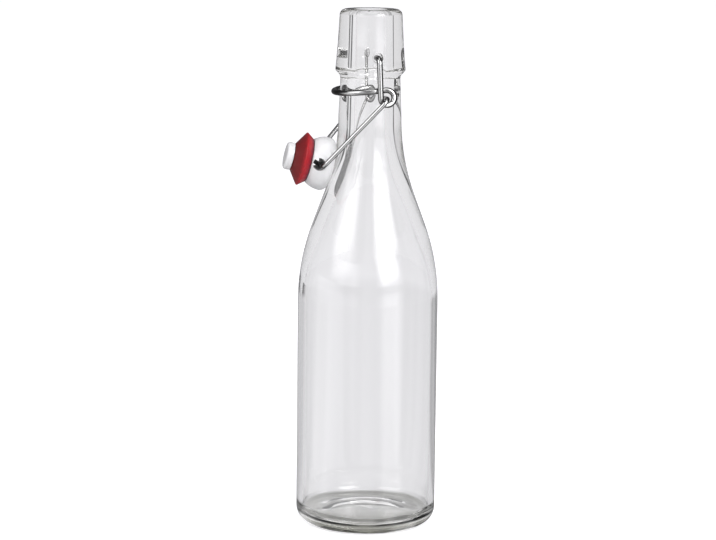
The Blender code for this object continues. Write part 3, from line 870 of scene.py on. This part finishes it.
# %% Route the bail
BAIL_WIRE_RADIUS = 1.15 * MM
BAIL_BEND_RADIUS = 3.0 * MM
BAIL_LENGTH = 45.8 * MM
BAIL_SIDE_CLEARANCE = 1.2 * MM
STOPPER_HEAD_RADIUS = 13.5 * MM
STOPPER_SIDE_CLEARANCE = 0.9 * MM
BAIL_TOP_SIDE = LEG_SIDE + LEVER_WIRE_RADIUS + BAIL_SIDE_CLEARANCE + BAIL_WIRE_RADIUS
BAIL_BOTTOM_SIDE = STOPPER_HEAD_RADIUS + STOPPER_SIDE_CLEARANCE + BAIL_WIRE_RADIUS


def bail_route():
    """The bail, measured from its pins, hanging straight down."""
    corners = []
    for side in (-1, 1):
        half = [(0.0, side * (HANDLE_SIDE - LEVER_WIRE_RADIUS), 0.0), (0.0, side * BAIL_TOP_SIDE, 0.0),
                (0.0, side * BAIL_BOTTOM_SIDE, -BAIL_LENGTH)]
        corners += half if side < 0 else half[::-1]
    return rounded_path(corners, BAIL_BEND_RADIUS)


print("the bail is", round(BAIL_LENGTH / MM, 1), "mm long between its pins and its foot")

# %% [markdown]
# Drawing the wires
#
# A curve with a round section follows each route and then becomes a mesh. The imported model's joints say
# where each wire hangs, and the line between the bail's two pins gives the bail's lean.

# %% Draw the wires along their routes
WIRE_ROUNDNESS = 12


def drawn_wire(name, route, radius, place):
    """A round wire along a route, laid in its place."""
    data = bpy.data.curves.new(name, "CURVE")
    data.dimensions = "3D"
    data.bevel_depth = radius
    data.bevel_resolution = WIRE_ROUNDNESS
    data.use_fill_caps = True
    spline = data.splines.new("POLY")
    spline.points.add(len(route) - 1)
    for point, spot in zip(spline.points, route):
        point.co = (*spot, 1.0)
    bent = new_object(name + "_route", data)
    bpy.context.view_layer.update()
    mesh = bpy.data.meshes.new_from_object(bent.evaluated_get(bpy.context.evaluated_depsgraph_get()))
    bpy.data.objects.remove(bent, do_unlink=True)
    mesh.transform(place)
    mesh.shade_smooth()
    mesh.set_sharp_from_angle(angle=CREASE_ANGLE)
    return new_object(name, mesh)


pins = {joint["name"]: Vector(joint["pos_m"]) for joint in frame["joints"]}
bail_lean = pins["stopper_turn"] - pins["bail_swing"]
HANG_ANGLE = math.atan2(-bail_lean.x, -bail_lean.z)
lever_place = Matrix.Translation(pins["lever_pivot"])
bail_place = Matrix.Translation(pins["bail_swing"]) @ Matrix.Rotation(HANG_ANGLE, 4, "Y")
steel_lever = drawn_wire("steel_lever", lever_route(), LEVER_WIRE_RADIUS, lever_place)
steel_bail = drawn_wire("steel_bail", bail_route(), BAIL_WIRE_RADIUS, bail_place)
for wire, body, node in ((steel_lever, "lever", "closing_lever"), (steel_bail, "bail", "bail_wire")):
    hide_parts(node)
    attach(wire, body)
print("the bail hangs", round(math.degrees(HANG_ANGLE), 1), "degrees from straight down")

# %% [markdown]
# The finish of the wires
#
# Drawn steel is nearly a mirror, and the sides of the wire mirror the dark end of the room. Its colour
# also carries a painted highlight and painted shade: bright along the middle of the wire and nearly black
# at its sides, by the angle of view. The finish is metal with slight blotches in its polish and the fine
# pits of bending.

# %% Finish the wires
WIRE_DULL = 0.42
WIRE_BRIGHT = 0.82
# Painted highlight and shade: share of the colour from the middle of the wire, at 0, to its very edge, at 1.
WIRE_PAINTED_HIGHLIGHT_AND_SHADE = [(0.0, 1.0), (0.10, 0.9), (0.28, 0.32), (0.50, 0.08), (1.0, 0.08)]
WIRE_GRAIN_PER_METRE = 900.0
WIRE_GRAIN_DETAIL = 4.0
WIRE_SMOOTHEST = 0.14
WIRE_ROUGHEST = 0.28
WIRE_PITS = 0.02 * MM


def drawn_steel():
    """Drawn wire with a painted bright middle and painted dark sides, small blotches and pits."""
    finish, shader = new_finish("drawn_steel", Metallic=1.0)
    blotches = spots(finish, WIRE_GRAIN_PER_METRE, WIRE_GRAIN_DETAIL)
    view = add_node(finish, "ShaderNodeLayerWeight")
    # Painted highlight and shade: the colour goes dark towards the wire's sides by the angle of view.
    painted_side_shade = grade(finish, view.outputs["Facing"], WIRE_PAINTED_HIGHLIGHT_AND_SHADE)
    brightness = reckon(finish, "MULTIPLY", painted_side_shade, spread(finish, blotches, WIRE_DULL, WIRE_BRIGHT))
    join(finish, brightness, shader.inputs["Base Color"])
    join(finish, spread(finish, blotches, WIRE_SMOOTHEST, WIRE_ROUGHEST), shader.inputs["Roughness"])
    bump(finish, shader, blotches, WIRE_PITS)
    return finish


steel = drawn_steel()
for wire in (steel_lever, steel_bail):
    wire.data.materials.append(steel)
print("polish of the wires: roughness from", WIRE_SMOOTHEST, "to", WIRE_ROUGHEST)

# %% [markdown]
# The stopper
#
# The stopper is moulded in white plastic: a blunt tip that enters the mouth, a groove for the gasket, and a
# rounded head. Places along its axis count from the gasket's rim, and the groove fits the gasket.

# %% Draw the outline of the stopper
GASKET_RADIUS = 13.6 * MM
GASKET_FRONT_RADIUS = 6.5 * MM
GASKET_BACK_RADIUS = 10.9 * MM
GASKET_FRONT_DEPTH = 4.9 * MM
GASKET_BACK_DEPTH = 3.6 * MM
STEM_RADIUS = 5.2 * MM
TIP_RADIUS = 6.9 * MM
TIP_LENGTH = 3.4 * MM
TIP_ROUND = 1.4 * MM
TIP_BACK = -(GASKET_FRONT_DEPTH + SEAT_GAP)
HEAD_FRONT_RADIUS = 10.9 * MM
HEAD_FRONT_LENGTH = 7.4 * MM
HEAD_CORNER_RADIUS = 4.0 * MM
HEAD_DOME = 0.7 * MM
HEAD_FRONT = GASKET_BACK_DEPTH + SEAT_GAP
HEAD_WIDEST = HEAD_FRONT + HEAD_FRONT_LENGTH
HEAD_BACK = HEAD_WIDEST + HEAD_CORNER_RADIUS
DOME_STEPS = 5


def stopper_outline():
    """Outline (radius, distance along the axis) of the stopper: tip, groove and domed head."""
    points = [(0.0, TIP_BACK - TIP_LENGTH)]
    tip_center = (TIP_RADIUS - TIP_ROUND, TIP_BACK - TIP_LENGTH + TIP_ROUND)
    points += arc(tip_center, TIP_ROUND, -QUARTER_TURN, 0.0)
    points += [(TIP_RADIUS, TIP_BACK), (STEM_RADIUS, TIP_BACK), (STEM_RADIUS, HEAD_FRONT)]
    swell = STOPPER_HEAD_RADIUS - HEAD_FRONT_RADIUS
    flare_radius = (HEAD_FRONT_LENGTH ** 2 + swell ** 2) / (2 * swell)
    flare_start = math.asin(HEAD_FRONT_LENGTH / flare_radius)
    flare_center = (STOPPER_HEAD_RADIUS - flare_radius, HEAD_WIDEST)
    points += arc(flare_center, flare_radius, -flare_start, 0.0, ROUND_STEP / 2)
    back_radius = STOPPER_HEAD_RADIUS - HEAD_CORNER_RADIUS
    points += arc((back_radius, HEAD_WIDEST), HEAD_CORNER_RADIUS, 0.0, QUARTER_TURN)[1:]
    for i in range(DOME_STEPS - 1, -1, -1):
        share = i / DOME_STEPS
        points.append((back_radius * share, HEAD_BACK + HEAD_DOME * (1.0 - share * share)))
    return points


print("the stopper is", round((HEAD_BACK + HEAD_DOME - TIP_BACK + TIP_LENGTH) / MM, 1), "mm long")

# %% [markdown]
# Where the stopper hangs
#
# The wire doesn't fill the hole, so the stopper hangs from it tilted and a little askew, leaning on the
# neck. Its place follows from the wire and from the play that is left in the hole.

# %% Lay the stopper on its wire
CROSS_HOLE_RADIUS = 2.4 * MM
CROSS_HOLE_FLARE = 0.9 * MM
CROSS_HOLE_SETBACK = 3.5 * MM
WIRE_SEAT_ANGLE = -32.0 * DEGREE
STOPPER_TILT = 13.0 * DEGREE
HOLE_ALONG = HEAD_FRONT + CROSS_HOLE_SETBACK
WIRE_PLAY = CROSS_HOLE_RADIUS - BAIL_WIRE_RADIUS - SEAT_GAP
SEAT_ALONG = HOLE_ALONG + WIRE_PLAY * math.cos(WIRE_SEAT_ANGLE)
SEAT_UP = WIRE_PLAY * math.sin(WIRE_SEAT_ANGLE)
HOLE_HALF = STOPPER_HEAD_RADIUS + PLUG_OVERRUN


def hanging_place():
    """The matrix that lays the stopper down where it hangs on the bail, slightly askew in its hole."""
    room = CROSS_HOLE_RADIUS + CROSS_HOLE_FLARE - BAIL_WIRE_RADIUS - SEAT_GAP
    free = math.sqrt(room * room - SEAT_UP * SEAT_UP) - (SEAT_ALONG - HOLE_ALONG)
    askew = math.atan2(free, HOLE_HALF)
    turned_down = Matrix.Rotation(STOPPER_TILT, 4, "Y") @ Matrix.Rotation(-askew, 4, "Z")
    on_the_wire = Matrix.Translation((-SEAT_ALONG, 0.0, -SEAT_UP)) @ Matrix.Rotation(QUARTER_TURN, 4, "Y")
    return Matrix.Translation(pins["stopper_turn"]) @ turned_down @ on_the_wire


HANGING_PLACE = hanging_place()
print("the gasket's rim hangs at", [round(part / MM, 1) for part in HANGING_PLACE.translation], "mm")

# %% [markdown]
# Turning and drilling the stopper
#
# Like the glass the stopper is spun from its outline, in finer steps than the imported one. The hole across
# its head is narrow in the middle and opens towards both mouths, so that the stopper can rock on the wire.
# A plug of that form is turned, laid across the head and subtracted.

# %% Turn the stopper and drill it
STOPPER_STEPS = 128
HOLE_STEPS = 96
HOLE_RINGS = 6


def cross_hole_plug():
    """A plug across the stopper's head, narrow in the middle and wider towards both mouths."""
    places = [HOLE_HALF * i / HOLE_RINGS for i in range(-HOLE_RINGS, HOLE_RINGS + 1)]
    side = [(CROSS_HOLE_RADIUS + CROSS_HOLE_FLARE * abs(place) / HOLE_HALF, place) for place in places]
    plug = turned("cross_hole", [(0.0, -HOLE_HALF)] + side + [(0.0, HOLE_HALF)], HOLE_STEPS)
    across = Matrix.Translation((0.0, 0.0, HOLE_ALONG)) @ Matrix.Rotation(QUARTER_TURN, 4, "X")
    plug.data.transform(across)
    return plug


white_stopper = turned("white_stopper", stopper_outline(), STOPPER_STEPS)
drill(white_stopper, [cross_hole_plug()])
white_stopper.data.transform(HANGING_PLACE)
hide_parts("stopper")
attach(white_stopper, "plug")
print("stopper:", len(white_stopper.data.polygons), "faces")

# %% [markdown]
# The finish of the stopper
#
# The plastic is glossy and white, a touch greyer in soft patches, with a very slightly uneven skin.

# %% Finish the stopper
PLASTIC_INDEX = 1.5
PLASTIC_COLOURS = [(0.0, (0.62, 0.62, 0.63)), (1.0, (0.72, 0.72, 0.73))]
PLASTIC_GRAIN_PER_METRE = 260.0
PLASTIC_GRAIN_DETAIL = 3.0
PLASTIC_UNEVENNESS = 0.03 * MM
PLASTIC_SMOOTHEST = 0.16
PLASTIC_ROUGHEST = 0.30


def white_plastic():
    """Glossy white plastic with a slightly uneven skin."""
    finish, shader = new_finish("white_plastic_stopper", IOR=PLASTIC_INDEX)
    patches = spots(finish, PLASTIC_GRAIN_PER_METRE, PLASTIC_GRAIN_DETAIL)
    join(finish, grade(finish, patches, PLASTIC_COLOURS), shader.inputs["Base Color"])
    join(finish, spread(finish, patches, PLASTIC_SMOOTHEST, PLASTIC_ROUGHEST), shader.inputs["Roughness"])
    bump(finish, shader, patches, PLASTIC_UNEVENNESS)
    return finish


white_stopper.data.materials.clear()
white_stopper.data.materials.append(white_plastic())
print("gloss of the plastic: roughness from", PLASTIC_SMOOTHEST, "to", PLASTIC_ROUGHEST)

# %% [markdown]
# The gasket
#
# The gasket is a ring of soft red rubber, with a long cone in front that seals the mouth and a short one
# behind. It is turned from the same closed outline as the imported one, with its edges slightly rounded, as
# moulded rubber has them, and laid in the stopper's groove.

# %% Turn the gasket
GASKET_RIM_ROUND = 0.45 * MM
GASKET_EDGE_ROUND = 0.35 * MM


def rounded_corner(before, corner, after, radius):
    """A corner of an outline, rounded to a radius."""
    corner = Vector(corner)
    towards = (Vector(before) - corner).normalized()
    onwards = (Vector(after) - corner).normalized()
    half = towards.angle(onwards) / 2
    middle = corner + (towards + onwards).normalized() * (radius / math.sin(half))
    start = corner + towards * (radius / math.tan(half)) - middle
    end = corner + onwards * (radius / math.tan(half)) - middle
    first = math.atan2(start.y, start.x)
    sweep = (math.atan2(end.y, end.x) - first + HALF_TURN) % FULL_TURN - HALF_TURN
    return arc(middle, radius, first, first + sweep)


def gasket_outline():
    """Closed outline of the gasket: bore, front cone, rim and back cone, with rounded edges."""
    bore = STEM_RADIUS + SEAT_GAP
    corners = [(bore, -GASKET_FRONT_DEPTH), (GASKET_FRONT_RADIUS, -GASKET_FRONT_DEPTH),
               (GASKET_RADIUS, 0.0), (GASKET_BACK_RADIUS, GASKET_BACK_DEPTH), (bore, GASKET_BACK_DEPTH)]
    points = [corners[0]]
    for i, radius in ((1, GASKET_EDGE_ROUND), (2, GASKET_RIM_ROUND), (3, GASKET_EDGE_ROUND)):
        points += rounded_corner(corners[i - 1], corners[i], corners[i + 1], radius)
    return points + [corners[-1], corners[0]]


red_gasket = turned("red_gasket", gasket_outline(), STOPPER_STEPS)
red_gasket.data.set_sharp_from_angle(angle=CREASE_ANGLE)
red_gasket.data.transform(HANGING_PLACE)
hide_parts("gasket")
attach(red_gasket, "plug")
print("gasket:", len(red_gasket.data.polygons), "faces")

# %% [markdown]
# The finish of the gasket
#
# The rubber is duller than the plastic beside it, with a fine bloom on its skin. The front cone and the
# edge against the head are painted darker: painted shade. So the colour follows the distance along the
# gasket's own axis, and the bloom shifts it a little.

# %% Finish the gasket
RUBBER_INDEX = 1.5
# Colour by the distance behind the rim, in millimetres, with painted shade on the front cone and the back
# edge.
RUBBER_PAINTED_SHADE_COLOURS = [(-5.0, (0.12, 0.010, 0.010)), (-1.2, (0.17, 0.007, 0.009)), (0.2, (0.36, 0.011, 0.017)),
                  (1.6, (0.36, 0.012, 0.020)), (3.4, (0.13, 0.008, 0.020))]
RUBBER_GRAIN_PER_METRE = 700.0
RUBBER_GRAIN_DETAIL = 5.0
RUBBER_UNEVENNESS = 0.04 * MM
RUBBER_SHIFT = 2.4 * MM
RUBBER_SMOOTHEST = 0.32
RUBBER_ROUGHEST = 0.50
RUBBER_GLOSS = 0.30


def red_rubber(place):
    """Red rubber with a fine bloom and painted shade, coloured by the distance along the gasket's axis."""
    finish, shader = new_finish("red_rubber_gasket", IOR=RUBBER_INDEX, Specular_IOR_Level=RUBBER_GLOSS)
    bloom = spots(finish, RUBBER_GRAIN_PER_METRE, RUBBER_GRAIN_DETAIL)
    lengthwise = place.to_3x3() @ Vector((0.0, 0.0, 1.0))
    measured = add_node(finish, "ShaderNodeVectorMath", operation="DOT_PRODUCT")
    join(finish, add_node(finish, "ShaderNodeTexCoord").outputs["Object"], measured.inputs[0])
    measured.inputs[1].default_value = lengthwise
    shift = spread(finish, bloom, -RUBBER_SHIFT / 2, RUBBER_SHIFT / 2)
    along = reckon(finish, "ADD", measured.outputs["Value"], shift)
    # Painted shade: darker on the front cone and at the edge against the head.
    colour = grade(finish, along, RUBBER_PAINTED_SHADE_COLOURS, MM, lengthwise.dot(place.translation))
    join(finish, colour, shader.inputs["Base Color"])
    join(finish, spread(finish, bloom, RUBBER_SMOOTHEST, RUBBER_ROUGHEST), shader.inputs["Roughness"])
    bump(finish, shader, bloom, RUBBER_UNEVENNESS)
    return finish


red_gasket.data.materials.append(red_rubber(HANGING_PLACE))
print("gloss of the rubber: roughness from", RUBBER_SMOOTHEST, "to", RUBBER_ROUGHEST)
